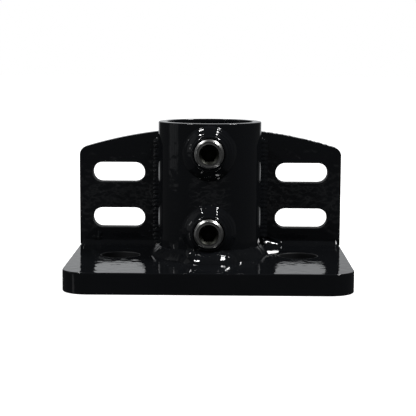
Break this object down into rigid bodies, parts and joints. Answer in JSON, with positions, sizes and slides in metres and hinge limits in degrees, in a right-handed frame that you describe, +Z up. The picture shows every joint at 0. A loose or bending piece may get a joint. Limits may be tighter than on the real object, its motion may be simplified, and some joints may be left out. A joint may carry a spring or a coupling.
{
  "type": "stanchion base",
  "caption": "Welded black steel post socket on a base plate and a slotted side plate, with hex-socket set screws in round bosses that clamp a round post.",
  "frame": {"origin": "centre of the base plate's underside", "axes": "+Z up along the socket tube, -Y the side with the set screws, +Y the outer face of the side plate, +X to the right when facing the set screws"},
  "size_m": [0.16, 0.11, 0.09],
  "materials": {
    "black_paint": "gloss, slight orange peel",
    "bright_steel": "bare, turned"
  },
  "bodies": {
    "fitting": {"base_plate": "black_paint", "upright_plate": "black_paint", "socket_tube": "black_paint", "upper_boss": "black_paint", "upper_boss_weld": "black_paint", "lower_boss": "black_paint", "lower_boss_weld": "black_paint", "tube_foot_weld": "black_paint", "left_seam_weld": "black_paint", "right_seam_weld": "black_paint", "left_plate_foot_weld": "black_paint", "right_plate_foot_weld": "black_paint"},
    "upper_cup": {"upper_screw_cup": "bright_steel"},
    "upper_screw": {"upper_set_screw": "bright_steel"},
    "lower_cup": {"lower_screw_cup": "bright_steel"},
    "lower_screw": {"lower_set_screw": "bright_steel"}
  },
  "joints": [
    {"name": "upper_screw_feed", "type": "slide", "parent": "fitting", "child": "upper_cup", "axis": [0, 1, 0], "range_m": [-0.0027, 0.0041]},
    {"name": "upper_screw_turn", "type": "hinge", "parent": "upper_cup", "child": "upper_screw", "pos_m": [0, -0.016, 0.0734], "axis": [0, 1, 0], "range_deg": [-720, 1080]},
    {"name": "lower_screw_feed", "type": "slide", "parent": "fitting", "child": "lower_cup", "axis": [0, 1, 0], "range_m": [-0.0027, 0.0041]},
    {"name": "lower_screw_turn", "type": "hinge", "parent": "lower_cup", "child": "lower_screw", "pos_m": [0, -0.016, 0.0282], "axis": [0, 1, 0], "range_deg": [-720, 1080]}
  ],
  "couplings": [
    {"joint": "upper_screw_feed", "follows": "upper_screw_turn", "m_per_rad": 0.00021279},
    {"joint": "lower_screw_feed", "follows": "lower_screw_turn", "m_per_rad": 0.00021279}
  ]
}
